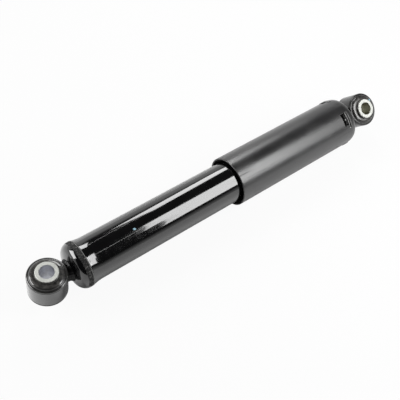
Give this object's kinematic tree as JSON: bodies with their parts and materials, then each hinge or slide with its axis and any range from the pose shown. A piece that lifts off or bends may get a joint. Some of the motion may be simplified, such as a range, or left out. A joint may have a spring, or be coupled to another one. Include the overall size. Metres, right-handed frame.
{
  "type": "gas shock absorber",
  "caption": "Twin-tube gas shock absorber: sliding rod under a plastic dust cover, painted tube, and a rubber-bushed eye with a steel sleeve at each end.",
  "frame": {"origin": "centre of the lower eye's bore", "axes": "+X along the shock from the lower eye to the upper eye, +Z along the lower eye's bore"},
  "size_m": [0.5106, 0.061, 0.061],
  "materials": {
    "black_paint": "gloss black paint on steel",
    "black_plastic": "satin moulded black plastic",
    "rubber": "moulded black rubber",
    "zinc_plate": "bright zinc plate on turned steel",
    "hard_chrome": "ground hard chrome",
    "steel": "plain turned or stamped steel",
    "sintered_iron": "oil-filled sintered iron",
    "bronze": "lined bronze bush",
    "ptfe": "filled PTFE band"
  },
  "bodies": {
    "cylinder": {"lower_eye_ring": "black_paint", "lower_eye_bush": "rubber", "lower_eye_weld": "black_paint", "base_cap": "black_paint", "reserve_tube": "black_paint", "pressure_tube": "steel", "base_valve_body": "sintered_iron", "base_valve_pin": "steel", "base_valve_nut": "steel", "base_valve_shim_1": "steel", "base_valve_shim_2": "steel", "base_valve_shim_3": "steel", "intake_spring": "steel", "rod_guide": "sintered_iron", "guide_bush": "bronze", "rod_seal": "rubber", "seal_spring": "steel", "seal_washer": "steel"},
    "lower_sleeve": {"lower_eye_sleeve": "zinc_plate"},
    "intake_plate": {"intake_plate": "steel"},
    "piston_band": {"piston_band": "ptfe"},
    "rod": {"piston_rod": "hard_chrome", "piston": "sintered_iron", "check_spring": "steel", "support_washer": "steel", "rebound_shim_1": "steel", "rebound_shim_2": "steel", "rebound_shim_3": "steel", "clamp_washer": "steel", "piston_nut": "steel", "rebound_stop": "steel", "rebound_buffer": "rubber", "cover_plate": "black_paint", "dust_cover": "black_plastic", "upper_eye_ring": "black_paint", "upper_eye_bush": "rubber", "upper_eye_weld": "black_paint"},
    "check_plate": {"check_plate": "steel"},
    "upper_sleeve": {"upper_eye_sleeve": "zinc_plate"}
  },
  "joints": [
    {"name": "lower_sleeve_twist", "type": "hinge", "parent": "cylinder", "child": "lower_sleeve", "pos_m": [0, 0, 0], "axis": [0, 0, 1], "range_deg": [-20, 20], "stiffness_Nm_per_rad": 40},
    {"name": "intake_lift", "type": "slide", "parent": "cylinder", "child": "intake_plate", "axis": [1, 0, 0], "range_m": [0, 0.0008], "stiffness_N_per_m": 800, "springref_m": -0.002, "deforming": ["intake_spring"]},
    {"name": "rod_slide", "type": "slide", "parent": "cylinder", "child": "piston_band", "axis": [1, 0, 0], "range_m": [-0.135, 0], "stiffness_N_per_m": 400, "springref_m": 0.225},
    {"name": "rod_spin", "type": "hinge", "parent": "piston_band", "child": "rod", "pos_m": [0, 0, 0], "axis": [1, 0, 0], "continuous": true},
    {"name": "check_lift", "type": "slide", "parent": "rod", "child": "check_plate", "axis": [1, 0, 0], "range_m": [0, 0.0008], "stiffness_N_per_m": 800, "springref_m": -0.002, "deforming": ["check_spring"]},
    {"name": "upper_sleeve_twist", "type": "hinge", "parent": "rod", "child": "upper_sleeve", "pos_m": [0.468, 0, 0], "axis": [0, -0.6018, 0.7986], "range_deg": [-20, 20], "stiffness_Nm_per_rad": 40}
  ]
}
